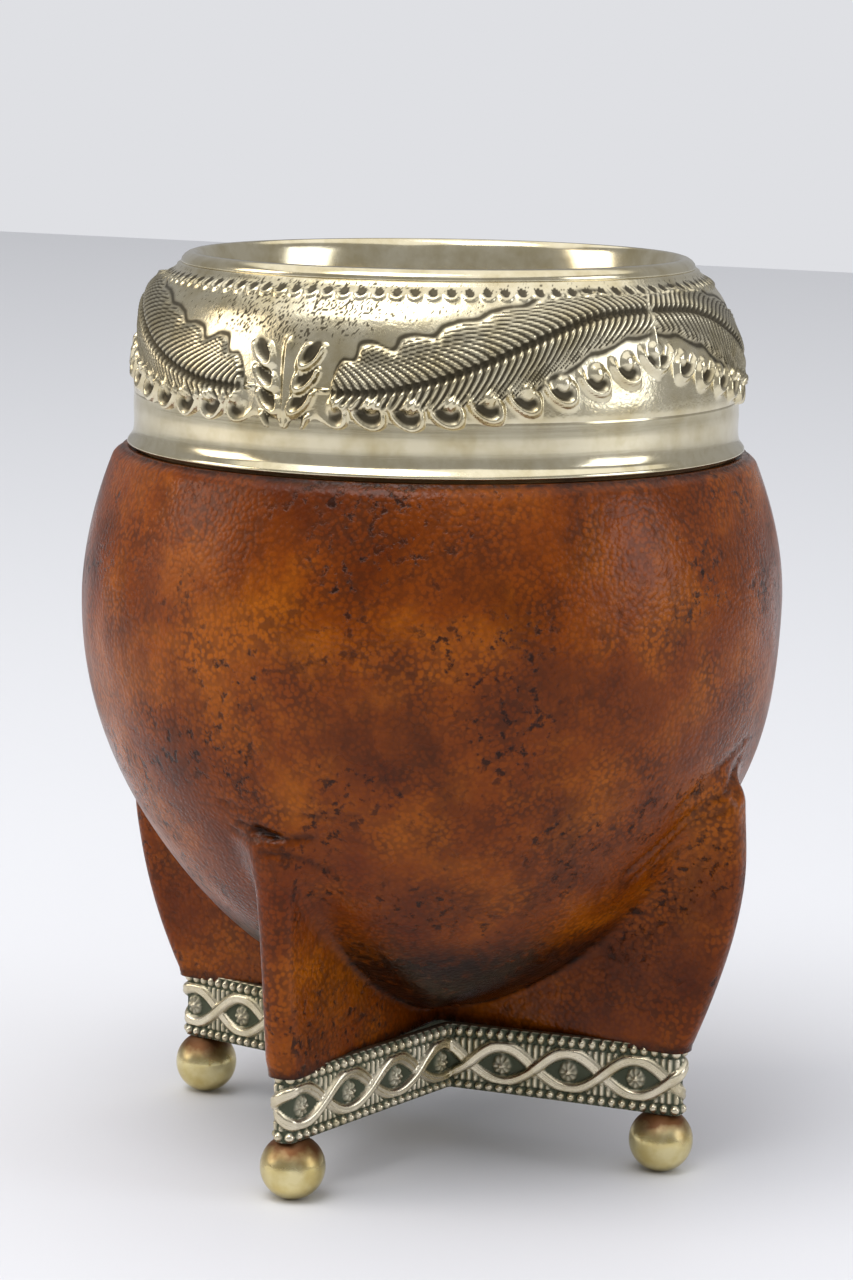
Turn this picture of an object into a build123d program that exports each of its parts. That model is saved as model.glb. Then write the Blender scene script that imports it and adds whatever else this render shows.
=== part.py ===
"""A mate cup: a calabash gourd in a leather jacket, with a silver collar, a
chased silver band round its four fins, and four brass ball feet.

Millimetres, +Z up. The origin is on the cup's axis at the height of the surface
that it stands on. The four fins lie along +X, +Y, -X and -Y.
"""

from build123d import *
import math
import os

# ---- Driving dimensions -------------------------------------------------------

# Ball feet
ball_radius = 4.0
ball_worn = 0.06  # height worn off the underside
ball_filed = 0.44  # height filed off the top, where the band is soldered on
ball_inset = 3.6  # from the foot's reach back to the ball's centre

# Foot: the plan that the fins share with the band round them
foot_reach = 37.0
fin_tip_width = 4.36
fin_root = 4.76  # from the axis to where two neighbouring fin sides would meet
fin_root_round = 4.8

# Band round the foot
band_height = 8.7
band_sheet = 0.9
edge_height = 1.1  # raised strip along both edges of the band
edge_relief = 0.45
bottom_lift = 1.4  # how much higher the band's bottom edge is near the axis
top_lift = 0.7

# Sole plate inside the band
sole_sheet = 1.0

# Fins, for +X, +Y, -X and -Y: how far each reaches from the axis, and its top over the band
fin_reaches = (43.7, 43.4, 43.9, 39.8)
fin_tops = (33.4, 33.0, 33.0, 29.8)
fin_reach_rise = 23.8
fin_swell = 0.6  # share of its flare that a fin has at its swell's height
fin_swell_rise = 11.8
fin_top_lean = 0.8  # how much nearer the axis the fin's top corner is
fin_top_round = 3.0

# Leather jacket, outside
belly_radius = 44.0
belly_drop = 53.0  # from the belly down to the jacket's lowest point
jacket_rise = 18.9  # from the belly up to the jacket's edge
jacket_edge_radius = 39.7
under_round = (2.03, 0.59)  # exponents of the curve under the belly
over_round = 1.78  # exponent of the curve over the belly
leather = 2.2

# Gourd inside the jacket
gourd_wall = 5.0
neck_height = 14.0  # how far the neck stands above the jacket

# Collar: steps inwards and upwards from the jacket's edge
collar_step = 2.05
collar_sheet = 0.9
lip_flare = 1.2
lip_height = 1.6
wall_height = 6.1
shoulder_step = 2.25
shoulder_height = 12.2
mouth_step = 6.4
rim_height = 5.4
rim_width = 2.6
lining_depth = 24.0

# Clearances
band_clearance = 0.3
collar_gap = 0.5
seat_gap = 0.25
jacket_gap = 0.15

# ---- Places that follow from them ---------------------------------------------

band_bottom = 2 * ball_radius - ball_worn - ball_filed
band_top = band_bottom + band_height
jacket_bottom = band_top + band_clearance
belly_height = jacket_bottom + belly_drop
jacket_top = belly_height + jacket_rise
collar_radius = jacket_edge_radius - collar_step
collar_bottom = jacket_top + collar_gap
wall_top = collar_bottom + wall_height
shoulder_radius = collar_radius - shoulder_step
shoulder_top = wall_top + shoulder_height
mouth_radius = shoulder_radius - mouth_step
rim_top = shoulder_top + rim_height

FIN_TURNS = (0, 90, 180, 270)
BEYOND = 150.0  # past every piece


# ---- Profiles turned about the axis -------------------------------------------


def jacket_radius(height):
    """Outside radius of the leather at a height."""
    if height <= belly_height:
        share = (belly_height - height) / (belly_height - jacket_bottom)
        return belly_radius * (1 - share ** under_round[0]) ** under_round[1]
    share = (height - belly_height) / (jacket_top - belly_height)
    return belly_radius - (belly_radius - jacket_edge_radius) * share**over_round


def jacket_curve(inset):
    """Points (radius, height) up the jacket's outside, moved inwards by inset."""
    points = [(0.0, jacket_bottom + inset)]
    low_count, high_count, step = 11, 5, 0.01
    drop = belly_height - jacket_bottom
    rise = jacket_top - belly_height
    heights = [belly_height - drop * math.cos(math.pi / 2 * i / low_count) for i in range(2, low_count)]
    heights += [belly_height + rise * i / high_count for i in range(high_count + 1)]
    for height in heights:
        lean = (jacket_radius(height) - jacket_radius(height - step)) / step
        slant = math.hypot(1, lean)
        points.append((jacket_radius(height) - inset / slant, height + inset * lean / slant))
    return points


def turned(curve, corners):
    """The solid turned from a spline up through curve's points, closed past corners."""
    end_run = (curve[-1][0] - curve[-2][0], curve[-1][1] - curve[-2][1])
    side = Spline(*curve, tangents=((1, 0), end_run))
    rest = Polyline(curve[-1], *corners, curve[0])
    return revolve(Plane.XZ * make_face([side, rest]), Axis.Z)


def turned_outline(corners):
    """The solid turned from a closed outline of straight runs."""
    return revolve(Plane.XZ * make_face(Polyline(*corners, close=True)), Axis.Z)


def under_lifted(height, lift):
    """All the room below a surface at height over the fin tips and higher at the axis."""
    edge = height - lift * (BEYOND / foot_reach - 1)
    return turned_outline([(0, -BEYOND), (BEYOND, -BEYOND), (BEYOND, edge), (0, height + lift)])


# ---- The foot's plan and the fins ---------------------------------------------


def foot_plan(grow=0.0):
    """The four-armed plan of the foot, with round tips and round inner corners."""
    half = fin_tip_width / 2
    root = fin_root / math.sqrt(2)
    corners = []
    for turn in FIN_TURNS:
        arm = Rot(0, 0, turn)
        spots = ((foot_reach, -half), (foot_reach, half), (root, root))
        corners += [(arm * Pos(*spot)).position for spot in spots]
    plan = make_face(Polyline(*corners, close=True))
    inner = plan.vertices().sort_by(lambda v: Vector(v).length)[:4]
    plan = fillet(inner, fin_root_round)
    outer = plan.vertices().sort_by(lambda v: Vector(v).length)[-8:]
    plan = fillet(outer, half * 0.94)
    return offset(plan, amount=grow) if grow else plan


def upright(grow):
    """The foot's plan as a tall prism from the ground up."""
    return extrude(foot_plan(grow), amount=BEYOND)


def fin(reach, top, turn):
    """One fin's slab, with a round outer edge that starts inside the band and flares out."""
    half = fin_tip_width / 2
    swell = foot_reach + fin_swell * (reach - foot_reach)
    corner = (reach - fin_top_lean, top)
    edge = Spline(
        (foot_reach - leather, band_bottom),
        (foot_reach, band_top),
        (swell, band_top + fin_swell_rise),
        (reach, band_top + fin_reach_rise),
        corner,
    )
    rest = Polyline(corner, (0, top), (0, band_bottom), (foot_reach - leather, band_bottom))
    outline = make_face([edge, rest])
    sharp = outline.vertices().sort_by(lambda v: (Vector(v) - Vector(*corner)).length)[0]
    outline = fillet(sharp, fin_top_round)
    slab = extrude(Plane.XZ * outline, amount=half, both=True)
    outer_edges = [e for e in slab.edges().filter_by(GeomType.BSPLINE) if abs(e.center().Y) > half / 2]
    return Rot(0, 0, turn) * fillet(outer_edges, 0.94 * half)


# ---- The pieces ---------------------------------------------------------------


def gourd():
    """Hollow calabash that fills the jacket, with its neck standing inside the collar."""
    inset = leather + jacket_gap
    outside = jacket_curve(inset)
    neck_radius = collar_radius - collar_sheet - seat_gap
    neck_top = jacket_top + neck_height
    lean = (collar_radius - shoulder_radius) / (shoulder_top - wall_top)
    top_radius = neck_radius - lean * max(neck_top - wall_top, 0)
    neck = [
        (neck_radius, collar_bottom + lip_height + seat_gap),
        (neck_radius, wall_top),
        (top_radius, neck_top),
        (0, neck_top),
    ]
    bore = mouth_radius + collar_sheet + seat_gap
    bore_bottom = rim_top - lining_depth - seat_gap
    hollow = turned(jacket_curve(inset + gourd_wall)[:-3], [(bore, bore_bottom), (bore, BEYOND), (0, BEYOND)])
    return turned(outside, neck) - hollow


def leather_cover():
    """Jacket and fins in one, open at the top, drawn in where the band goes round."""
    body = turned(jacket_curve(0), [(0, jacket_top)])
    body += extrude(foot_plan(), amount=band_top + min(fin_tops))
    for reach, top, turn in zip(fin_reaches, fin_tops, FIN_TURNS):
        body += fin(reach, band_top + top, turn)
    cavity = jacket_curve(leather)
    body -= turned(cavity, [(cavity[-1][0], BEYOND), (0, BEYOND)])
    around_foot = upright(leather) - upright(-band_sheet - jacket_gap)
    body -= around_foot & under_lifted(band_top + seat_gap, top_lift)
    return body - under_lifted(band_bottom + sole_sheet + seat_gap, bottom_lift)


def base_band():
    """Upright silver strip bent round the fins, with a raised edge above and below."""
    inside = upright(-band_sheet)
    sheet = (upright(0) - inside) & under_lifted(band_top, top_lift)
    edge = upright(edge_relief) - inside
    low_edge = edge & under_lifted(band_bottom + edge_height, bottom_lift)
    high_edge = (edge & under_lifted(band_top, top_lift)) - under_lifted(band_top - edge_height, top_lift)
    return sheet + low_edge + high_edge - under_lifted(band_bottom, bottom_lift)


def sole_plate():
    """Plate that closes the foot inside the band, level with the band's bottom edge."""
    plate = upright(-band_sheet - jacket_gap) & under_lifted(band_bottom + sole_sheet, bottom_lift)
    return plate - under_lifted(band_bottom, bottom_lift)


def collar():
    """Sheet collar: flared lip, wall, shoulder and round rim, with the mouth's lining."""
    sheet = collar_sheet
    lip_radius = collar_radius + lip_flare
    lip_top = collar_bottom + lip_height
    rim_outside = mouth_radius + rim_width
    crown = rim_top - rim_width / 2
    wall_corner = (collar_radius, wall_top)
    shoulder_corner = (shoulder_radius, shoulder_top)
    rim_corners = ((rim_outside, rim_top), (mouth_radius, rim_top))
    outline = [
        (lip_radius, collar_bottom),
        (collar_radius, lip_top),
        wall_corner,
        shoulder_corner,
        (rim_outside, crown),
        *rim_corners,
        (mouth_radius, rim_top - lining_depth),
        (mouth_radius + sheet, rim_top - lining_depth),
        (mouth_radius + sheet, crown - sheet),
        (shoulder_radius - sheet, shoulder_top - sheet / 2),
        (collar_radius - sheet, wall_top),
        (collar_radius - sheet, lip_top),
        (lip_radius - sheet, collar_bottom),
    ]
    face = make_face(Polyline(*outline, close=True))
    rounds = [(wall_corner, 6 * sheet), (shoulder_corner, 3 * sheet)]
    rounds += [(corner, 0.45 * (rim_outside - mouth_radius)) for corner in rim_corners]
    for corner, radius in rounds:
        nearest = face.vertices().sort_by(lambda v: (Vector(v) - Vector(*corner)).length)[0]
        face = fillet(nearest, radius)
    return revolve(Plane.XZ * face, Axis.Z)


def ball_foot(turn):
    """Brass ball, worn flat below and filed flat above to fit under the band."""
    ball = Pos(0, 0, ball_radius - ball_worn) * Sphere(ball_radius)
    room = Box(3 * ball_radius, 3 * ball_radius, band_bottom, align=(Align.CENTER, Align.CENTER, Align.MIN))
    return Rot(0, 0, turn) * Pos(foot_reach - ball_inset, 0, 0) * (ball & room)


# ---- Written files ------------------------------------------------------------

pieces = {
    "gourd": gourd(),
    "leather_cover": leather_cover(),
    "base_band": base_band(),
    "sole_plate": sole_plate(),
    "collar": collar(),
}
for number, fin_turn in enumerate(FIN_TURNS, start=1):
    pieces[f"ball_foot_{number}"] = ball_foot(fin_turn)

os.makedirs("parts", exist_ok=True)
for name, piece in pieces.items():
    export_step(piece, f"parts/{name}.step")
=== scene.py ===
"""A leather-covered mate gourd cup on four fins, with a chased silver collar,
an interlaced silver band round its foot and brass ball feet."""

import math

import bmesh
import bpy
import numpy as np
from mathutils import Matrix, Vector


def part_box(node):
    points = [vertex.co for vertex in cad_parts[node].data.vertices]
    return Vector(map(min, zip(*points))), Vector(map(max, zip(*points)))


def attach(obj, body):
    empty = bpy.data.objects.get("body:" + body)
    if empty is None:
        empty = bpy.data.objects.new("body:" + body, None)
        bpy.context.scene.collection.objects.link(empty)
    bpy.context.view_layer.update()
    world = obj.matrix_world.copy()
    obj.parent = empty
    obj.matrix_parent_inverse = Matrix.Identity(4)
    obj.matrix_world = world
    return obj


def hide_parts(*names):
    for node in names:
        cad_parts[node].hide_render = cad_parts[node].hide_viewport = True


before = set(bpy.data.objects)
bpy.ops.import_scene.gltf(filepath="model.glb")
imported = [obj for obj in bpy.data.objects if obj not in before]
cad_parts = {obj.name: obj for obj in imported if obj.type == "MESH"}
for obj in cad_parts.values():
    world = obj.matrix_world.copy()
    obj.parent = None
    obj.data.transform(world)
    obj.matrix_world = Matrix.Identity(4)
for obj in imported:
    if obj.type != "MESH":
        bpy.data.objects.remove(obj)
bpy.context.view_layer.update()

MM = 0.001

# ---- Camera, floor and light ---------------------------------------------------
# The cup stands a little below eye level, close to a long lens that leans down on
# it, on a pale table with one large soft light above and a fill from each side.

view_turn = math.radians(28.74)
camera_distance, camera_height = 460.6 * MM, 141.0 * MM
camera_side = -0.8 * MM
lean_down, tilt = math.radians(9.51), math.radians(0.84)

camera = bpy.data.objects.new("camera", bpy.data.cameras.new("camera"))
camera.data.lens = 104.1
camera.data.clip_start = 0.01
camera.matrix_world = (
    Matrix.Rotation(view_turn, 4, "Z")
    @ Matrix.Translation((camera_side, -camera_distance, camera_height))
    @ Matrix.Rotation(math.pi / 2 - lean_down, 4, "X")
    @ Matrix.Rotation(tilt, 4, "Z")
)
bpy.context.scene.collection.objects.link(camera)
bpy.context.scene.camera = camera
bpy.context.scene.view_settings.view_transform = "Standard"


def linear(hex_colour):
    """sRGB hex to the linear colour that a shader takes."""
    parts = [int(hex_colour[i : i + 2], 16) / 255 for i in (1, 3, 5)]
    return (*[p / 12.92 if p <= 0.04045 else ((p + 0.055) / 1.055) ** 2.4 for p in parts], 1.0)


def add_node(tree, kind, settings=None, stops=None, **inputs):
    """Adds a node and sets its properties, its ramp's (position, colour) stops and its inputs,
    which are named, or numbered after an underscore. A node as an input links its first output."""
    node = tree.nodes.new("ShaderNode" + kind)
    for name, value in (settings or {}).items():
        setattr(node, name, value)
    for number, (position, colour) in enumerate(stops or []):
        if number == len(node.color_ramp.elements):
            node.color_ramp.elements.new(1.0)
        element = node.color_ramp.elements[number]
        element.position, element.color = position, linear(colour)
    for name, value in inputs.items():
        key = int(name[1:]) if name[1:].isdigit() else name.replace("_", " ")
        if isinstance(value, bpy.types.Node):
            value = value.outputs[0]
        if isinstance(value, bpy.types.NodeSocket):
            tree.links.new(value, node.inputs[key])
        else:
            node.inputs[key].default_value = value
    return node


def per(size_mm):
    """The pattern scale that makes its cells or blotches this many millimetres across."""
    return 1 / (size_mm * MM)


def new_material(name):
    """An empty material and its node tree."""
    material = bpy.data.materials.new(name)
    material.use_nodes = True
    material.node_tree.nodes.clear()
    return material, material.node_tree


def finish_material(tree, **inputs):
    """Ends a tree with a principled surface."""
    surface = add_node(tree, "BsdfPrincipled", **inputs)
    add_node(tree, "OutputMaterial", Surface=surface)


def put_piece(name, mesh_source, material=None):
    """Turns a bmesh into a smooth-shaded object at the origin."""
    mesh = bpy.data.meshes.new(name)
    mesh_source.to_mesh(mesh)
    mesh_source.free()
    for polygon in mesh.polygons:
        polygon.use_smooth = True
    piece = bpy.data.objects.new(name, mesh)
    if material:
        mesh.materials.append(material)
    bpy.context.scene.collection.objects.link(piece)
    return piece


def add_light(name, size, power, turn_degrees, rise_degrees, distance, colour="#ffffff"):
    """A square soft light that looks at the belly from a turn and a rise."""
    light = bpy.data.objects.new(name, bpy.data.lights.new(name, "AREA"))
    light.data.shape = "SQUARE"
    light.data.size = size
    light.data.energy = power
    light.data.color = linear(colour)[:3]
    turn, rise = math.radians(turn_degrees), math.radians(rise_degrees)
    aim = Vector((0, 0, 60 * MM))
    out = math.cos(rise)
    spot = aim + distance * Vector((out * math.sin(turn), -out * math.cos(turn), math.sin(rise)))
    facing = (spot - aim).to_track_quat("Z", "Y").to_matrix().to_4x4()
    light.matrix_world = Matrix.Translation(spot) @ facing
    bpy.context.scene.collection.objects.link(light)


# A matt white laminate table: even and pale, with a faint sheen.
table_half = 1.6
floor_mesh = bmesh.new()
bmesh.ops.create_grid(floor_mesh, x_segments=1, y_segments=1, size=table_half)
table_white, tree = new_material("matt_white_laminate")
finish_material(tree, Base_Color=linear("#d9dade"), Roughness=0.6)
floor = put_piece("table", floor_mesh, table_white)

world = bpy.data.worlds.new("studio")
bpy.context.scene.world = world
world.use_nodes = True
tree = world.node_tree
tree.nodes.clear()
rays = add_node(tree, "LightPath")
seen = add_node(tree, "Background", Color=linear("#dfe0e4"), Strength=1.0)
soft = add_node(tree, "Background", Color=linear("#c9cacd"), Strength=0.68)
mixed = add_node(tree, "MixShader", _0=rays.outputs["Is Camera Ray"], _1=soft, _2=seen)
add_node(tree, "OutputWorld", Surface=mixed)

add_light("soft_above", 0.55, 4.2, -8, 64, 0.9)
add_light("window_left", 0.4, 1.9, -58, 20, 0.9, "#fff6ea")
add_light("window_right", 0.4, 1.7, 100, 16, 0.9, "#f2f6ff")
add_light("ceiling", 5.0, 70.0, 0, 90, 2.4)

# ---- Leather jacket -------------------------------------------------------------
# Wet-formed, waxed vegetable-tanned cowhide over a gourd, drawn down into four
# stiff fins. The body and fins flow together above and meet in creases below.

belly_radius, belly_height = 44.0, 69.8
jacket_low = 16.8
jacket_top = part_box("leather_cover")[1].z / MM
jacket_edge_radius = 39.7
under_round, over_round = (2.03, 0.59), 1.78
leather_thickness = 2.2
fin_swell_top, fin_edge_round = 40.0, 1.9
skin_grid = 0.6
foot_reach, fin_half_tip, fin_root = 37.0, 2.18, 4.76 / math.sqrt(2)
fin_turns = (0, 90, 180, 270)
fin_reaches = (43.7, 43.4, 43.9, 39.8)
fin_tops = (49.6, 49.2, 49.2, 46.0)
band_low, band_high = 7.5, 16.2


def jacket_radius(height):
    """Outside radius of the leather at heights in millimetres."""
    low = np.clip((belly_height - height) / (belly_height - jacket_low), 0, 1)
    high = np.clip((height - belly_height) / (jacket_top - belly_height), 0, 1.3)
    return belly_radius * (1 - low ** under_round[0]) ** under_round[1] - (
        belly_radius - jacket_edge_radius
    ) * high**over_round


def fin_edge(height, reach, top):
    """How far out a fin's edge stands at heights in millimetres."""
    share = np.clip((height - band_high) / (fin_swell_top - band_high), 0, 1)
    flare = foot_reach + (reach - foot_reach) * (1 - (1 - share) ** 1.7)
    return flare - 0.8 * np.clip((height - fin_swell_top) / (top - fin_swell_top), 0, 1.2) ** 2


def softly_joined(a, b, reach):
    """Smooth union of two distance fields, blended over reach."""
    mix = np.clip(0.5 + 0.5 * (b - a) / reach, 0, 1)
    return b * (1 - mix) + a * mix - reach * mix * (1 - mix)


def jacket_field(points):
    """Distance in millimetres outside the leather's surface."""
    x, y, z = points.T
    radius = np.hypot(x, y)
    lift = 0.01
    lean = (jacket_radius(z + lift) - jacket_radius(z - lift)) / (2 * lift)
    field = (radius - jacket_radius(z)) / np.sqrt(1 + np.clip(lean, -3, 3) ** 2)
    blend = 0.7 + 4.3 * np.clip((z - 27) / 14, 0, 1)
    for turn, reach, top in zip(fin_turns, fin_reaches, fin_tops):
        c, s = math.cos(math.radians(turn)), math.sin(math.radians(turn))
        along, across = x * c + y * s, -x * s + y * c
        share = np.clip((along - fin_root) / (foot_reach - fin_root), 0, 1)
        half = fin_root + (fin_half_tip - fin_root) * share
        half = half + 0.35 * np.clip((z - 34) / 12, 0, 1)
        side = np.abs(across) - (half - fin_edge_round)
        tip = along - (fin_edge(z, reach, top) - fin_edge_round)
        roof = z - (top - fin_edge_round)
        out = np.sqrt(np.maximum(side, 0) ** 2 + np.maximum(tip, 0) ** 2 + np.maximum(roof, 0) ** 2)
        slab = out + np.minimum(np.maximum(np.maximum(side, tip), roof), 0) - fin_edge_round
        slab = np.where(along < 0, 50.0, slab)
        field = softly_joined(field, slab, blend)
    return field


def spin_profile(mesh, profile, steps, close=False):
    """Spins a chain of (radius, height) millimetre points about the cup's axis."""
    verts = [mesh.verts.new((r * MM, 0, z * MM)) for r, z in profile]
    edges = [mesh.edges.new(pair) for pair in zip(verts, verts[1:])]
    if close:
        edges.append(mesh.edges.new((verts[-1], verts[0])))
    bmesh.ops.spin(
        mesh, geom=verts + edges, cent=(0, 0, 0), axis=(0, 0, 1), angle=2 * math.pi,
        steps=steps, use_merge=True,
    )
    bmesh.ops.remove_doubles(mesh, verts=mesh.verts, dist=0.001 * MM)
    bmesh.ops.recalc_face_normals(mesh, faces=mesh.faces)


cover = bmesh.new()
heights = [jacket_low + 0.001 + (jacket_top - jacket_low) * (i / 60) ** 1.4 for i in range(61)]
heights[-1] = jacket_top + 1.5
belly = [(float(jacket_radius(np.array(h))), h) for h in heights[1:]]
spin_profile(cover, [(0, jacket_low), *belly, (0, heights[-1])], 128)
for turn, reach, top in zip(fin_turns, fin_reaches, fin_tops):
    outline = [(0, band_high - 4), (foot_reach, band_high - 4)]
    outline += [(float(fin_edge(np.array(h), reach, top)), h) for h in np.linspace(band_high, top, 9)]
    outline += [(0, top)]
    corners = [cover.verts.new((r * MM, -fin_half_tip * 1.1 * MM, h * MM)) for r, h in outline]
    face = cover.faces.new(corners)
    grown = bmesh.ops.extrude_face_region(cover, geom=[face])["geom"]
    moved = [g for g in grown if isinstance(g, bmesh.types.BMVert)]
    bmesh.ops.translate(cover, verts=moved, vec=(0, 2.2 * fin_half_tip * MM, 0))
    bmesh.ops.rotate(
        cover, verts=corners + moved, cent=(0, 0, 0), matrix=Matrix.Rotation(math.radians(turn), 3, "Z")
    )
bmesh.ops.recalc_face_normals(cover, faces=cover.faces)
rough = put_piece("rough_jacket", cover)
remesh = rough.modifiers.new("one_skin", "REMESH")
remesh.mode = "VOXEL"
remesh.voxel_size = skin_grid * MM
skin = bpy.data.meshes.new_from_object(rough.evaluated_get(bpy.context.evaluated_depsgraph_get()))
bpy.data.objects.remove(rough)

places = np.zeros(len(skin.vertices) * 3)
skin.vertices.foreach_get("co", places)
places = places.reshape(-1, 3) / MM


def field_slope(points):
    """Unit directions straight out of the leather."""
    step = 0.02 * np.eye(3)
    slope = np.stack([jacket_field(points + s) - jacket_field(points - s) for s in step], 1)
    return slope / np.maximum(np.linalg.norm(slope, axis=1, keepdims=True), 1e-6)


worked = (places[:, 2] < jacket_top + 0.8) & (places[:, 2] > band_high - 3)
for settling in range(4):
    here = places[worked]
    places[worked] = here - np.clip(jacket_field(here), -1.2, 1.2)[:, None] * field_slope(here)


def view_angle(points):
    """Degrees round the cup from the side that faces the viewer, towards the viewer's right."""
    turned = np.degrees(np.arctan2(points[:, 1], points[:, 0])) - (math.degrees(view_turn) - 90)
    return (turned + 180) % 360 - 180


def near_line(points, line, width, sharp=2.0):
    """One along a line of (view angle, height) spots on the jacket, nought past width."""
    angle, height = view_angle(points), points[:, 2]
    mm_per_degree = math.radians(40.0)
    across = angle * mm_per_degree
    best = np.full(len(points), 1e9)
    spots = [np.array((a * mm_per_degree, h)) for a, h in line]
    for a, b in zip(spots, spots[1:]):
        run = b - a
        beside, above = across - a[0], height - a[1]
        share = np.clip((beside * run[0] + above * run[1]) / (run @ run), 0, 1)
        best = np.minimum(best, np.hypot(beside - share * run[0], above - share * run[1]))
    return np.clip(1 - best / width, 0, 1) ** sharp


# Stretch creases over the front left fin, the tear in its top fold, and wrinkles
# that fan out over the right fin: (view angle, height) lines, width, depth, and the darkness of the shade
# painted into each.
creases = [
    ([(-35, 47.0), (-30, 46.4), (-26, 45.9), (-21, 46.2)], 0.9, 0.55, 1.0),
    ([(-31, 46.6), (-28.6, 46.2), (-27, 46.0)], 1.3, 0.9, 1.3),
    ([(-30, 43.9), (-26, 44.2), (-22, 43.2), (-19, 42.0)], 0.7, 0.4, 0.8),
    ([(-38, 49.6), (-33, 48.9), (-27, 49.2), (-18, 48.9), (-12, 49.5)], 0.6, 0.25, 0.5),
    ([(-37, 46.0), (-33, 45.4), (-30, 45.6)], 0.8, 0.35, 0.7),
    ([(-29.5, 50.5), (-29.8, 55), (-30.5, 60)], 0.5, 0.2, 0.35),
    ([(43, 40.0), (50, 44.5), (57, 49.0), (66, 52.5)], 1.1, 0.5, 0.6),
    ([(46, 38.5), (54, 45.0), (61, 49.5)], 0.8, 0.45, 0.5),
    ([(48, 47.5), (56, 52.0), (66, 55.0)], 0.9, 0.35, 0.4),
    ([(150, 47.0), (154, 46.3), (160, 46.8)], 0.9, 0.4, 0.6),
    ([(-118, 46.5), (-122, 46.2), (-128, 47.0)], 0.9, 0.4, 0.6),
]
slope = field_slope(places)
angle, height = np.radians(view_angle(places)), places[:, 2]
# Hand-shaped unevenness: slow swells of a quarter of a millimetre.
sink = 0.28 * np.sin(3 * angle + 0.05 * height) * np.sin(0.09 * height + 1.3)
sink += 0.12 * np.sin(9 * angle + 0.21 * height)
# Shade is painted into the creases and folds as a darkness kept on the leather's vertices.
shade_painted_dark = np.zeros(len(places))
for line, width, depth, dark in creases:
    mark = near_line(places, line, width)
    sink += depth * mark
    shade_painted_dark = np.maximum(shade_painted_dark, dark * mark**0.7)
# Painted shade in the fold under the belly, along the band, and under the rolled top edge.
radius_out = np.hypot(places[:, 0], places[:, 1])
fold = 1.25 * np.exp(-((radius_out - jacket_radius(height)) ** 2) / 0.5)
fold = fold * np.clip((33 - height) / 5, 0, 1) * np.clip((radius_out - 6) / 4, 0, 1)
shade_painted_dark = np.maximum(shade_painted_dark, 0.95 * fold * np.clip((height - 15) / 3, 0, 1))
shade_painted_dark = np.maximum(shade_painted_dark, 0.9 * np.clip(1 - (height - band_high) / 0.9, 0, 1))
edge_roll = np.clip((height - (jacket_top - 1.3)) / 1.3, 0, 1)
sink += 0.7 * edge_roll**2
shade_painted_dark = np.maximum(shade_painted_dark, 0.85 * edge_roll**3)
sink *= np.clip((height - band_high) / 1.5, 0, 1)
places[worked] -= (sink[:, None] * slope)[worked]
skin.vertices.foreach_set("co", (places * MM).ravel())
skin.attributes.new("shade_painted_dark", "FLOAT", "POINT").data.foreach_set("value", shade_painted_dark)

cover = bmesh.new()
cover.from_mesh(skin)
bpy.data.meshes.remove(skin)
for level, side in ((jacket_top, 1), (band_high - 0.5, -1)):
    bmesh.ops.bisect_plane(
        cover, geom=[*cover.verts, *cover.edges, *cover.faces], dist=1e-7,
        plane_co=(0, 0, level * MM), plane_no=(0, 0, side), clear_outer=True,
    )
low_rim = [e for e in cover.edges if e.is_boundary and e.verts[0].co.z < 20 * MM]
bmesh.ops.holes_fill(cover, edges=low_rim, sides=0)
lining = bmesh.new()
inside = [(0, jacket_low + leather_thickness)]
for i in range(1, 21):
    height = jacket_low + (jacket_top - jacket_low) * (i / 20) ** 1.3
    inset = leather_thickness * (1.3 if i < 8 else 1.0)
    inside.append((float(jacket_radius(np.array(height))) - inset, height))
spin_profile(lining, [spot for spot in inside if spot[0] >= 0], 128)
outward = sum(f.normal.dot(f.calc_center_median()) > 0 for f in lining.faces)
if outward > len(lining.faces) / 2:
    bmesh.ops.reverse_faces(lining, faces=lining.faces)
holder = bpy.data.meshes.new("jacket_inside")
lining.to_mesh(holder)
lining.free()
cover.from_mesh(holder)
bpy.data.meshes.remove(holder)
top_rims = [e for e in cover.edges if e.is_boundary]
bmesh.ops.bridge_loops(cover, edges=top_rims)

# Waxed vegetable-tanned cowhide: orange brown under a satin wax, with darker and redder
# clouds, a pebble grain with dirt in its valleys, old specks, and painted shade in the creases and folds.
tanned_leather, tree = new_material("waxed_vegetable_tanned_cowhide")
place = add_node(tree, "TexCoord").outputs["Object"]
black, white = "#000000", "#ffffff"

clouds = add_node(tree, "TexNoise", Vector=place, Scale=per(17), Detail=5.0, Roughness=0.62)
dye = add_node(tree, "ValToRGB", stops=[(0.33, "#582200"), (0.5, "#7a3700"), (0.66, "#9a5004")], Fac=clouds)
red = add_node(
    tree, "TexNoise", Vector=place, Scale=per(24), Detail=4.0, Roughness=0.6, Distortion=0.6
)
red_share = add_node(tree, "ValToRGB", stops=[(0.54, black), (0.7, "#a0a0a0")], Fac=red)
drawn_down = add_node(tree, "Mapping", Vector=place, Scale=(1.0, 1.0, 0.55))
dark = add_node(tree, "TexNoise", Vector=drawn_down, Scale=per(9), Detail=6.0, Roughness=0.7)
dark_share = add_node(tree, "ValToRGB", stops=[(0.5, black), (0.66, "#b4b4b4")], Fac=dark)

pebbles = add_node(
    tree, "TexVoronoi", {"feature": "SMOOTH_F1"}, Vector=place, Scale=per(0.6), Smoothness=0.45,
    Randomness=1.0,
)
valleys = add_node(tree, "ValToRGB", stops=[(0.38, black), (0.62, white)], Fac=pebbles)
wear = add_node(tree, "TexNoise", Vector=place, Scale=per(6), Detail=3.0)
wear_share = add_node(tree, "ValToRGB", stops=[(0.35, "#6a6a6a"), (0.65, "#d0d0d0")], Fac=wear)
valley_share = add_node(tree, "Math", {"operation": "MULTIPLY"}, _0=valleys, _1=wear_share)

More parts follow.
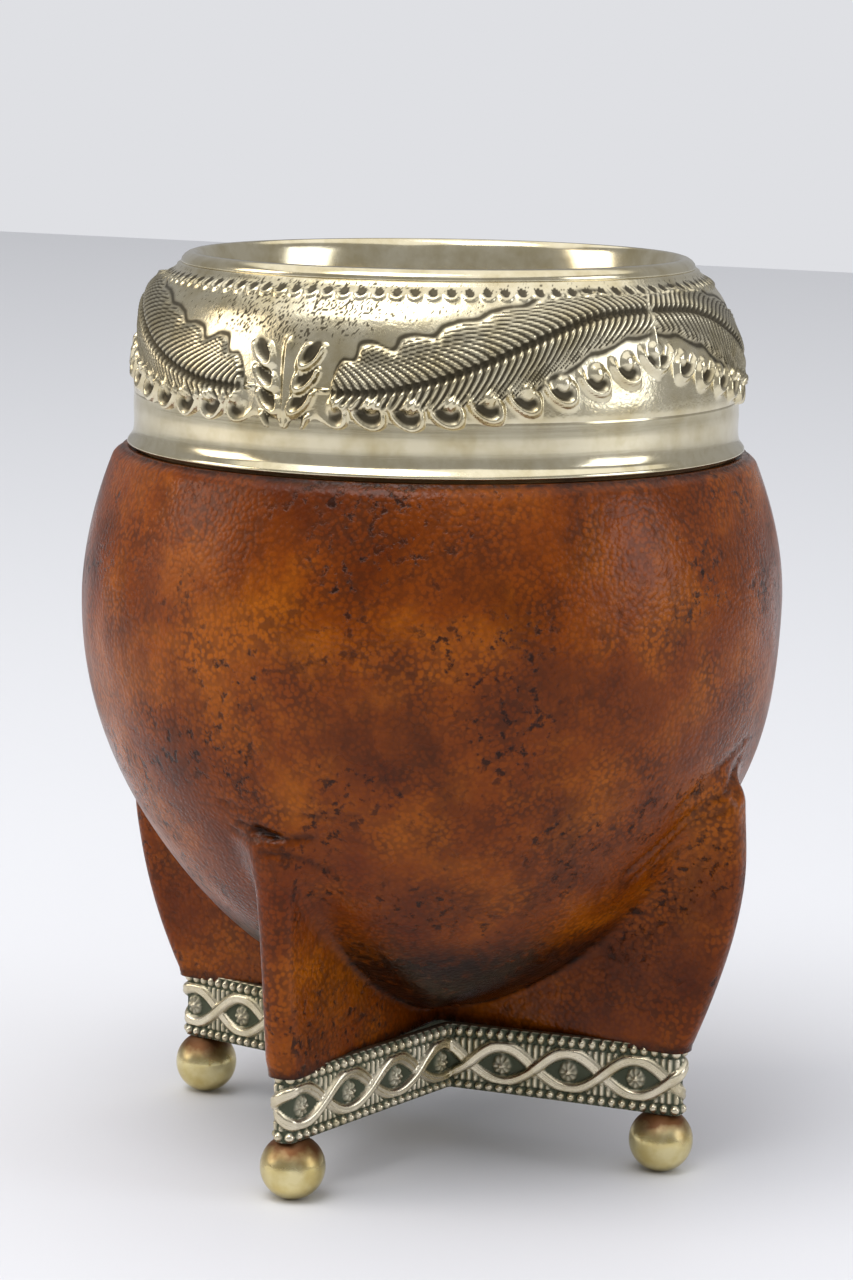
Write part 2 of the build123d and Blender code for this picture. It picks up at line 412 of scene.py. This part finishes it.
specks = add_node(tree, "TexNoise", Vector=place, Scale=per(1.3), Detail=4.0, Roughness=0.6)
speck_cores = add_node(tree, "ValToRGB", stops=[(0.555, black), (0.64, white)], Fac=specks)
crowds = add_node(tree, "TexNoise", Vector=place, Scale=per(14), Detail=3.0)
crowd_share = add_node(tree, "ValToRGB", stops=[(0.45, black), (0.6, white)], Fac=crowds)
speck_marks = add_node(tree, "Math", {"operation": "MULTIPLY"}, _0=speck_cores, _1=crowd_share)
speck_share = add_node(tree, "Math", {"operation": "MULTIPLY"}, _0=speck_marks, _1=0.85)

# Shade painted into the jacket's creases and folds, broken up by noise.
painted_shade_marks = add_node(tree, "Attribute", {"attribute_name": "shade_painted_dark"}).outputs["Fac"]
broken = add_node(tree, "TexNoise", Vector=place, Scale=per(1.2), Detail=3.0)
broken_share = add_node(tree, "ValToRGB", stops=[(0.3, "#b0b0b0"), (0.6, white)], Fac=broken)
broken_shade_marks = add_node(tree, "Math", {"operation": "MULTIPLY"}, _0=painted_shade_marks, _1=broken_share)
shade_mark_share = add_node(tree, "Math", {"operation": "MINIMUM"}, _0=broken_shade_marks, _1=0.93)

# Colours over the dye: redder and darker clouds, dirt in the grain, specks, and the painted shade of
# creases and folds.
stains = (
    (red_share, "#601a02"),
    (dark_share, "#381500"),
    (valley_share, "#3a1a06"),
    (speck_share, "#140703"),
    (shade_mark_share, "#150904"),
)
dyed = dye.outputs[0]
for share, colour in stains:
    dyed = add_node(tree, "Mix", {"data_type": "RGBA"}, _0=share, _6=dyed, _7=linear(colour)).outputs[2]

pebble_rise = add_node(tree, "Math", {"operation": "MULTIPLY"}, _0=pebbles, _1=-0.5)
pores = add_node(tree, "TexNoise", Vector=place, Scale=per(0.35), Detail=2.0)
grain = add_node(tree, "Math", {"operation": "MULTIPLY_ADD"}, _0=pores, _1=0.25, _2=pebble_rise)
pitted_grain = add_node(tree, "Math", {"operation": "MULTIPLY_ADD"}, _0=speck_marks, _1=-0.6, _2=grain)
grain_bump = add_node(tree, "Bump", Strength=0.75, Distance=0.16 * MM, Height=pitted_grain)
wax = add_node(tree, "TexNoise", Vector=place, Scale=per(12), Detail=4.0)
wax_roughness = add_node(tree, "ValToRGB", stops=[(0.35, "#757575"), (0.65, "#a8a8a8")], Fac=wax)
finish_material(
    tree, Base_Color=dyed, Roughness=wax_roughness, Normal=grain_bump, Specular_IOR_Level=0.17
)

jacket = put_piece("leather_jacket", cover, tanned_leather)
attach(jacket, "root")
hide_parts("leather_cover")

# ---- Collar chasing -------------------------------------------------------------
# Nickel silver sheet chased from outside: five S-curved plumes with split barbs
# over a border of hooked gadroons, acanthus hooks where two plume tips meet, small
# crescents under the rim, and a stippled ground. The recesses are left oxidised, and a
# shadow is painted along each plume's outer edge.

first_divider, plume_turn, plume_length = -28, 72, 46.0
barb_pitch, gadroon_pitch, crescent_pitch = 0.95, 4.4, 2.3
chased_rows, chased_height, sheet_thickness = 76, 16.8, 0.8
collar_points = [
    (37.1, 94.0), (37.7, 95.3), (37.65, 97.0), (37.35, 100.0), (36.9, 103.0), (36.2, 105.6), (35.5, 107.3),
    (34.6, 108.6), (33.6, 109.7), (32.6, 110.6), (31.8, 111.2),
]


def smooth_run(points, count):
    """Even spacing along a chain of points whose corners are worn round."""
    chain = np.array(points)
    length = np.concatenate([[0], np.cumsum(np.linalg.norm(np.diff(chain, axis=0), axis=1))])
    fine = np.linspace(0, length[-1], 400)
    run = np.stack([np.interp(fine, length, chain[:, 0]), np.interp(fine, length, chain[:, 1])], 1)
    padded = np.pad(run, ((15, 15), (0, 0)), mode="reflect", reflect_type="odd")
    run = np.stack([np.convolve(padded[:, i], np.ones(31) / 31, "valid") for i in (0, 1)], 1)
    return run[np.linspace(0, 399, count).round().astype(int)]


def plume_relief(angle, rise):
    """(height in millimetres, tarnish with painted edge shadows) at a view angle and a way up the chased
    zone.
    """
    cell = np.floor((angle - first_divider) / plume_turn)
    inside = (angle - first_divider) / plume_turn - cell
    mirror = np.isin(cell % 5, (1, 4))
    x = np.where(mirror, 1 - inside, inside) * plume_length

    # The plume: a midrib that climbs from tip to quill, and barbed vanes with lobed edges.
    share = np.clip((x - 6) / 34, 0, 1)
    sag = 1.1 * np.sin(np.clip(x / plume_length, 0, 1) * math.pi) ** 2
    middle = 4.3 + 7.9 * share * share * (3 - 2 * share) - sag
    slope = 7.9 * 6 * share * (1 - share) / 34
    w = (rise - middle) / np.sqrt(1 + slope**2)
    run = x + w * slope
    reach = 4.9 * np.clip((run - 5.6) / 3.4, 0, 1) ** 0.5
    reach = reach * (1 - 0.6 * np.clip((run - 22) / 24, 0, 1) ** 1.3)
    off = np.abs(w)
    lobe = (0.5 + 0.5 * np.cos(2 * math.pi * (run + 0.6 * off) / 5.4)) ** 2
    reach = reach - (0.4 + 1.3 * np.clip((22 - run) / 16, 0, 1)) * lobe
    body = np.clip(1 - off / np.maximum(reach, 0.05), 0, 1)
    vane = np.clip(body * 9, 0, 1)
    barbs = 0.5 + 0.5 * np.cos(2 * math.pi * (run + 0.5 * off + 0.2 * off**2) / barb_pitch)
    cup = 0.9 * np.clip(body * 4, 0, 1) ** 0.5 * (0.7 + 0.3 * np.cos(math.pi * off / 3.6))
    spine = np.exp(-((off / 0.36) ** 2)) * np.clip((run - 5.6) / 1.5, 0, 1)
    height = vane * (cup + 0.3 * (barbs - 0.5)) - 0.6 * spine * vane
    tarnish = np.where(vane > 0.5, 1.1 * (1 - barbs) ** 1.1 + spine, 0.1)
    # A shadow painted just outside each plume's edge, kept in the tarnish beside the oxide.
    painted_edge_shadow = np.clip(1 - np.abs(off - reach - 0.3) / 0.6, 0, 1)
    tarnish = np.maximum(tarnish, 0.95 * painted_edge_shadow * (reach > 0.6))

    # The ground above the plumes, pricked with a fine punch, closest over the tips.
    pits = np.random.default_rng(7).random(len(rise))
    ground = (1 - vane) * np.clip((rise - 7.5 - 0.18 * x) / 1.5, 0, 1)
    pitted = (pits < 0.05 + 0.16 * np.clip((15 - x) / 8, 0, 1)) * ground
    height = height - 0.13 * pitted
    tarnish = np.maximum(tarnish, 0.8 * pitted + 0.2 * ground * np.clip((14 - x) / 6, 0, 1))

    # Hooked gadroons along the bottom, which follow the plume up to its quill.
    border = np.clip((x - 4) / 3, 0, 1)
    lift = 5.6 * np.clip((x - 15) / 31, 0, 1) ** 1.35
    across = (x - 3.5) % gadroon_pitch - gadroon_pitch / 2
    up = rise - 2.3 - lift + 0.25 * across * np.clip((x - 15) / 10, 0, 1)
    ring = np.hypot(across + 0.45 * up, up * 1.05)
    cup_line = np.exp(-(((ring - 1.7) / 0.4) ** 2)) * np.clip(1.1 - up, 0, 1) * border
    lobe_line = np.exp(-(((np.hypot(across - 0.5, up - 0.5)) / 0.85) ** 4)) * border
    edge_cover = np.clip((2.7 + lift - rise) / 0.5, 0, 1) * border
    height = height * (1 - edge_cover) + 0.75 * np.maximum(cup_line, 0.75 * lobe_line)
    hollow = np.clip((1.9 - ring) / 0.5, 0, 1) * (1 - lobe_line) * edge_cover
    below = np.clip((0.5 + lift - rise) / 0.3, 0, 1)
    tarnish = np.where(edge_cover > 0.5, 0.15 + 0.85 * hollow, tarnish)
    tarnish = tarnish * (1 - 0.92 * np.clip(cup_line + lobe_line, 0, 1)) * (1 - below * (cup_line < 0.2))

    # Leaf hooks and a stem where two tips meet, and a plain rib where two quills meet.
    for k in range(4):
        lean = 0.55 * (rise - 0.9 - 2.35 * k)
        side = x - 1.5 - 0.55 * k - lean
        up = rise - 1.0 - 2.35 * k
        hook = np.hypot(side, up * 0.75)
        here = np.clip((1.9 - hook) / 0.35, 0, 1)
        arc = np.exp(-(((hook - 1.15) / 0.34) ** 2)) * np.clip((0.9 - up) / 0.4, 0, 1)
        arc = arc * np.clip((1.6 + side) / 0.5, 0, 1)
        height = height * (1 - 0.9 * here) + 0.85 * arc
        hollow = 0.95 * np.clip((1.25 - hook) / 0.5, 0, 1)
        tarnish = np.where(here > 0.4, hollow, tarnish) * (1 - 0.9 * arc)
    stem = np.exp(-((x / 0.38) ** 2)) * np.clip((9.8 - rise) / 1.0, 0, 1)
    height = np.maximum(height, 0.5 * stem)
    tarnish = tarnish * (1 - 0.8 * stem)
    quill = np.exp(-(((plume_length - x) / 0.45) ** 2))
    quill = quill * np.clip((rise - 5.0) / 1.5, 0, 1) * np.clip((13.6 - rise) / 1, 0, 1)
    height = np.maximum(height, 0.55 * quill)
    tarnish = tarnish * (1 - 0.8 * quill)

    # Small crescents under the rim.
    small = x % crescent_pitch - crescent_pitch / 2
    top = rise - 15.1
    bow = np.hypot(small, top)
    bow_line = np.exp(-(((bow - 0.9) / 0.26) ** 2)) * np.clip(0.5 - top, 0, 1)
    height = height + 0.32 * bow_line
    in_bow = np.maximum(tarnish, 0.8 * (np.abs(top) < 1))
    tarnish = np.where(bow < 0.62, in_bow, tarnish * (1 - 0.8 * bow_line))
    ends = np.clip(rise / 0.35, 0, 1) * np.clip((16.6 - rise) / 0.5, 0, 1)
    turned_line = np.exp(-(((rise - 16.45) / 0.2) ** 2))
    return height * ends + 0.2 * turned_line, np.clip(tarnish * ends, 0, 1)


def closed_grid(columns, rows, place):
    """A closed band: place(share round, row number) gives every point in millimetres."""
    mesh = bmesh.new()
    bmesh.ops.create_grid(mesh, x_segments=columns, y_segments=rows, size=1)
    spots = np.array([v.co for v in mesh.verts])
    round_share = (spots[:, 0] + 1) / 2
    row = np.round((spots[:, 1] + 1) / 2 * rows).astype(int)
    points, tarnish = place(round_share, row)
    layer = mesh.verts.layers.float.new("tarnish")
    for vert, point, amount in zip(mesh.verts, points * MM, tarnish):
        vert.co = point
        vert[layer] = amount
    bmesh.ops.remove_doubles(mesh, verts=mesh.verts, dist=0.002 * MM)
    bmesh.ops.recalc_face_normals(mesh, faces=mesh.faces)
    return mesh


chased_run = smooth_run(collar_points, chased_rows + 1)
inner_rows = {77: 76, 78: 50, 79: 20, 80: 0, 81: 0}


def chased_place(round_share, row):
    """The chased band: its front in chased_rows, then a plain back that closes it."""
    step = np.clip(row, 0, chased_rows)
    ahead = chased_run[np.clip(step + 1, 0, chased_rows)] - chased_run[np.clip(step - 1, 0, chased_rows)]
    normal = np.stack([ahead[:, 1], -ahead[:, 0]], 1) / np.linalg.norm(ahead, axis=1, keepdims=True)
    height, tarnish = plume_relief(round_share * 360, step / chased_rows * chased_height)
    spot = chased_run[step] + normal * height[:, None]
    for number, source in inner_rows.items():
        inset = sheet_thickness if number < 81 else 0.0
        spot[row == number] = chased_run[source] - np.array((inset, 0.0))
    turn = 2 * math.pi * round_share + view_turn - math.pi / 2
    points = np.stack([spot[:, 0] * np.cos(turn), spot[:, 0] * np.sin(turn), spot[:, 1]], 1)
    return points, np.where(row <= chased_rows, tarnish, 0.5)


def silver_material(name, bright, warm, oxide, roughness, turned=False):
    """Old nickel silver: polished where it is rubbed, cloudy, and oxidised where the piece's
    tarnish attribute says; on the chasing that attribute also holds a painted shadow round
    the plumes. roughness is (rubbed, oxidised)."""
    material, tree = new_material(name)
    place = add_node(tree, "TexCoord").outputs["Object"]
    clouds = add_node(tree, "TexNoise", Vector=place, Scale=per(5), Detail=4.0, Roughness=0.6)
    cloud_share = add_node(tree, "ValToRGB", stops=[(0.4, "#000000"), (0.7, "#ffffff")], Fac=clouds)
    rubbed = add_node(
        tree, "Mix", {"data_type": "RGBA"}, _0=cloud_share, _6=linear(bright), _7=linear(warm)
    ).outputs[2]
    tarnish = add_node(tree, "Attribute", {"attribute_name": "tarnish"}).outputs["Fac"]
    tarnish = add_node(tree, "Math", {"operation": "ADD"}, _0=tarnish, _1=-0.12)
    spots = add_node(tree, "TexNoise", Vector=place, Scale=per(0.8), Detail=3.0)
    tarnish = add_node(tree, "Math", {"operation": "MULTIPLY_ADD"}, _0=spots, _1=0.25, _2=tarnish)
    oxide_share = add_node(tree, "ValToRGB", stops=[(0.12, "#000000"), (0.75, "#f4f4f4")], Fac=tarnish)
    colour = add_node(
        tree, "Mix", {"data_type": "RGBA"}, _0=oxide_share, _6=rubbed, _7=linear(oxide)
    ).outputs[2]
    dulled = add_node(tree, "MapRange", Value=tarnish, To_Min=roughness[0], To_Max=roughness[1])
    if turned:
        place = add_node(tree, "Mapping", Vector=place, Scale=(0.03, 0.03, 1.0))
    marks = add_node(tree, "TexNoise", Vector=place, Scale=per(0.5 if turned else 0.45), Detail=3.0)
    strength, depth = (0.35, 0.02) if turned else (0.5, 0.05)
    bump = add_node(tree, "Bump", Strength=strength, Distance=depth * MM, Height=marks)
    finish_material(tree, Base_Color=colour, Metallic=1.0, Roughness=dulled, Normal=bump)
    return material


# Chased by hand, then rubbed: bright ridges over brown-black oxide in the recesses, and a painted shadow
# round the plumes.
chased_silver = silver_material(
    "chased_oxidised_nickel_silver", "#dcd2b5", "#c2b48e", "#2a2318", (0.17, 0.6)
)
chased_mesh = closed_grid(1180, chased_rows + len(inner_rows), chased_place)
chasing = put_piece("collar_chasing", chased_mesh, chased_silver)
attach(chasing, "root")
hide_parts("collar")

# ---- Collar wall, rim and lining --------------------------------------------------
# The same sheet where it is plain: a flared lip over the leather's edge, a turned
# and burnished wall, a thick round rim and the straight lining inside the mouth.

# (radius, height) points up the outside, over the rim, down the lining and back inside.
wall = bmesh.new()
wall_run = [(38.45, 88.9), (38.45, 89.15), (38.3, 89.4), (38.0, 89.75), (37.8, 90.1), (37.7, 90.5)]
wall_run += [(37.65, 90.9)]
wall_run += [(37.65 + 0.03 * math.sin(1.9 * h), h) for h in (91.6, 92.3, 93.0, 93.7, 94.4, 95.0)]
wall_run += [(37.62, 95.6), (36.9, 96.4), (36.3, 102.0), (34.6, 107.0), (32.4, 109.4)]
wall_run += [(31.2, 110.6), (31.75, 111.0), (31.85, 111.35), (31.75, 111.75), (31.45, 112.1), (31.0, 112.4)]
wall_run += [(30.5, 112.55), (30.1, 112.45), (29.85, 112.15), (29.65, 111.6), (29.4, 110.7), (29.17, 109.3)]
wall_run += [(29.04, 107.5)] + [(29.0, h) for h in (105.5, 100.0, 95.0, 90.0)]
wall_run += [(29.1, 88.7), (29.4, 88.6), (29.8, 88.7), (29.9, 89.5), (29.9, 108.6)]
wall_run += [(32.0, 108.2), (35.4, 103.0), (36.4, 96.0), (36.75, 91.0), (37.4, 90.0), (37.95, 88.9)]
spin_profile(wall, wall_run, 256, close=True)
# Spun on a lathe and burnished: a soft mirror with fine marks that run round it.
turned_silver = silver_material(
    "turned_burnished_nickel_silver", "#dcd2b5", "#c2b48e", "#2f281c", (0.15, 0.5), turned=True
)
shell = put_piece("collar_shell", wall, turned_silver)
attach(shell, "root")
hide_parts("collar")

# ---- Foot band --------------------------------------------------------------------
# Cast silver strip round the foot: two strands that weave over and under each other,
# a rayed rosette in each eye, leaf fillets in the corners, beads along both edges.

band_crossings, crossing_pitch, band_beads = 28, 9.7, 182
strand_sway, strand_half, bead_pitch, bead_radius = 2.35, 0.82, 1.5, 0.58
band_rows, band_wall = 50, 0.85
band_middle, band_half = (band_low + band_high) / 2, (band_high - band_low) / 2


def round_corner(before, corner, after, radius, count=10):
    """Points along the arc that rounds a corner of a plan."""
    a, b = (before - corner).normalized(), (after - corner).normalized()
    half = a.angle(b) / 2
    middle = corner + (a + b).normalized() * radius / math.sin(half)
    start = corner + a * radius / math.tan(half) - middle
    end = corner + b * radius / math.tan(half) - middle
    return [middle + start.slerp(end, i / count) for i in range(count + 1)]


plan_corners = []
for turn in fin_turns:
    arm = Matrix.Rotation(math.radians(turn), 2)
    for spot in ((foot_reach, -fin_half_tip), (foot_reach, fin_half_tip), (fin_root, fin_root)):
        rounding = 4.8 if spot[0] == fin_root else fin_half_tip * 0.94
        plan_corners.append((arm @ Vector(spot), rounding))
plan = []
for i, (corner, radius) in enumerate(plan_corners):
    after = plan_corners[(i + 1) % len(plan_corners)][0]
    plan += round_corner(plan_corners[i - 1][0], corner, after, radius)
plan = np.array(plan + plan[:1])
plan_length = np.concatenate([[0], np.cumsum(np.linalg.norm(np.diff(plan, axis=0), axis=1))])


def plan_point(share, out):
    """A point of the foot's plan at a share of its perimeter, moved outwards."""
    def at(part):
        part = part % 1.0 * plan_length[-1]
        return np.stack([np.interp(part, plan_length, plan[:, i]) for i in (0, 1)], 1)

    ahead = at(share + 0.0009) - at(share - 0.0009)
    ahead = ahead / np.linalg.norm(ahead, axis=1, keepdims=True)
    return at(share) + np.stack([ahead[:, 1], -ahead[:, 0]], 1) * np.asarray(out)[:, None]


def weave_relief(share, height):
    """(relief, tarnish) of the woven strip; height is from the strip's middle line."""
    x = share * band_crossings
    wave = strand_sway * np.sin(math.pi * x)
    slant = np.sqrt(1 + (strand_sway * math.pi / crossing_pitch * np.cos(math.pi * x)) ** 2)
    over = np.cos(math.pi * (x - np.round(x))) * np.where(np.round(x) % 2 == 0, 1, -1)
    relief = np.zeros_like(x)
    tarnish = np.full_like(x, 0.95)
    for side in (1, -1):
        off = np.abs(height - side * wave) / slant
        strand = np.sqrt(np.clip(1 - (off / strand_half) ** 2, 0, 1))
        level = (0.62 + 0.2 * side * over) * strand - 0.12 * np.exp(-((off / 0.16) ** 2)) * strand
        tarnish = np.where(level > relief, 0.5 - 0.62 * strand, tarnish)
        relief = np.maximum(relief, level)

    cell = (x - np.floor(x) - 0.5) * crossing_pitch
    spread = np.hypot(cell, height)
    ray = 0.5 + 0.5 * np.cos(8 * np.arctan2(height, cell))
    button = 0.35 * np.clip(1 - (spread / 0.5) ** 2, 0, 1)
    rosette = np.clip((1.45 - spread) / 0.35, 0, 1) * (0.18 + 0.32 * ray) + button
    tarnish = np.where(rosette > relief, 0.75 - 0.9 * rosette, tarnish)
    relief = np.maximum(relief, rosette)

    node = (x - np.round(x)) * crossing_pitch
    leaf_room = np.clip((np.abs(height) - 0.9 - 0.75 * np.abs(node)) / 0.3, 0, 1)
    leaf_room = leaf_room * (np.abs(node) < 2.6)
    rib = 0.5 + 0.5 * np.cos(2 * math.pi * node / 0.95)
    leaf = leaf_room * (0.12 + 0.32 * rib)
    tarnish = np.where(leaf > relief, 0.8 - 0.85 * rib * leaf_room, tarnish)
    relief = np.maximum(relief, leaf)
    inner = np.clip((band_half - 1.35 - np.abs(height)) / 0.25, 0, 1)
    relief = relief * inner
    tarnish = np.where(inner < 0.5, 0.9, tarnish)

    bead_x = ((share * band_beads) % 1.0 - 0.5) * bead_pitch
    bead_y = np.abs(height) - (band_half - 0.72)
    bead = np.sqrt(np.clip(1 - (bead_x**2 + bead_y**2) / bead_radius**2, 0, 1))
    relief = np.where(bead > 0, 0.1 + 0.55 * bead, relief)
    tarnish = np.where(bead > 0, 0.85 - 1.2 * bead, tarnish)
    lip = np.clip(1 - np.abs(np.abs(height) - (band_half - 0.07)) / 0.12, 0, 1)
    relief = np.maximum(relief, 0.3 * lip)
    return relief, np.clip(np.where(lip > 0.4, 0.3, tarnish), 0, 1)


def band_place(round_share, row):
    """The band: its ornamented front in band_rows, then a plain back that closes it."""
    front = row <= band_rows
    height = (np.clip(row, 0, band_rows) / band_rows * 2 - 1) * band_half
    relief, tarnish = weave_relief(round_share, height)
    out = np.where(front, 0.05 + relief, -band_wall)
    low_edge = weave_relief(round_share, np.full_like(height, -band_half))[0]
    out = np.where(row == band_rows + 4, 0.05 + low_edge, out)
    height = np.where(row == band_rows + 2, 0.0, np.where(row >= band_rows + 3, -band_half, height))
    flat = plan_point(round_share, out)
    radius = np.hypot(flat[:, 0], flat[:, 1])
    lift = np.where(height > 0, 0.7, 1.4) * np.abs(height) / band_half * (1 - radius / foot_reach)
    points = np.stack([flat[:, 0], flat[:, 1], band_middle + height + lift], 1)
    return points, np.where(front, tarnish, 0.7)


# Cast and rubbed: cream highlights, with dull grey-green patina in the ground.
patina_silver = silver_material(
    "cast_silver_with_green_patina", "#d8ceb6", "#b9ad8c", "#3b4738", (0.24, 0.7)
)
band = put_piece("foot_band", closed_grid(1640, band_rows + 4, band_place), patina_silver)
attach(band, "root")
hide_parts("base_band")

# ---- Ball feet, sole plate and gourd ----------------------------------------------
# Polished cast brass balls, browned by the solder where they meet the band; a plain
# silver sole; and the dried calabash wall, which shows only inside the mouth.

# Polished cast brass: pale gold and mirror-like, dull red-brown where it was soldered.
polished_brass, tree = new_material("polished_cast_brass")
place = add_node(tree, "TexCoord").outputs["Object"]
height = add_node(tree, "SeparateXYZ", Vector=place).outputs["Z"]
height = add_node(tree, "Math", {"operation": "ADD"}, _0=height, _1=-1.5 * MM)
drips = add_node(tree, "TexNoise", Vector=place, Scale=per(2.2), Detail=3.0)
height = add_node(tree, "Math", {"operation": "MULTIPLY_ADD"}, _0=drips, _1=3 * MM, _2=height)
solder = add_node(
    tree, "MapRange", Value=height, From_Min=4.2 * MM, From_Max=6.8 * MM, To_Min=0.0, To_Max=0.9
)
clouds = add_node(tree, "TexNoise", Vector=place, Scale=per(2.5), Detail=4.0)
brass = add_node(tree, "ValToRGB", stops=[(0.35, "#e2d5a2"), (0.65, "#cbb87a")], Fac=clouds)
browned = add_node(
    tree, "Mix", {"data_type": "RGBA"}, _0=solder, _6=brass, _7=linear("#5e2a16")
).outputs[2]
scratches = add_node(tree, "TexNoise", Vector=place, Scale=per(0.6), Detail=3.0)
bump = add_node(tree, "Bump", Strength=0.3, Distance=0.02 * MM, Height=scratches)
dulled = add_node(tree, "MapRange", Value=solder, To_Min=0.18, To_Max=0.6)
finish_material(tree, Base_Color=browned, Metallic=1.0, Roughness=dulled, Normal=bump)

# Rolled sheet, never polished: a grey satin.
plain_silver = silver_material(
    "rolled_nickel_silver_sheet", "#b9af93", "#9b8e6c", "#3a3226", (0.35, 0.6)
)

# Scraped and cured calabash: matt, mottled brown, slightly fibrous.
dried_calabash, tree = new_material("dried_calabash_wall")
place = add_node(tree, "TexCoord").outputs["Object"]
mottles = add_node(tree, "TexNoise", Vector=place, Scale=per(9), Detail=5.0, Roughness=0.65)
husk = add_node(tree, "ValToRGB", stops=[(0.3, "#5a3a1c"), (0.5, "#7c5a30"), (0.7, "#94713f")], Fac=mottles)
fibres = add_node(tree, "TexNoise", Vector=place, Scale=per(1.4), Detail=5.0, Roughness=0.65)
bump = add_node(tree, "Bump", Strength=0.5, Distance=0.2 * MM, Height=fibres)
finish_material(tree, Base_Color=husk, Roughness=0.75, Normal=bump)

finishes = {"sole_plate": plain_silver, "gourd": dried_calabash}
finishes.update({f"ball_foot_{number}": polished_brass for number in range(1, 5)})
for node_name, material in finishes.items():
    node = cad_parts[node_name]
    node.data.materials.clear()
    node.data.materials.append(material)
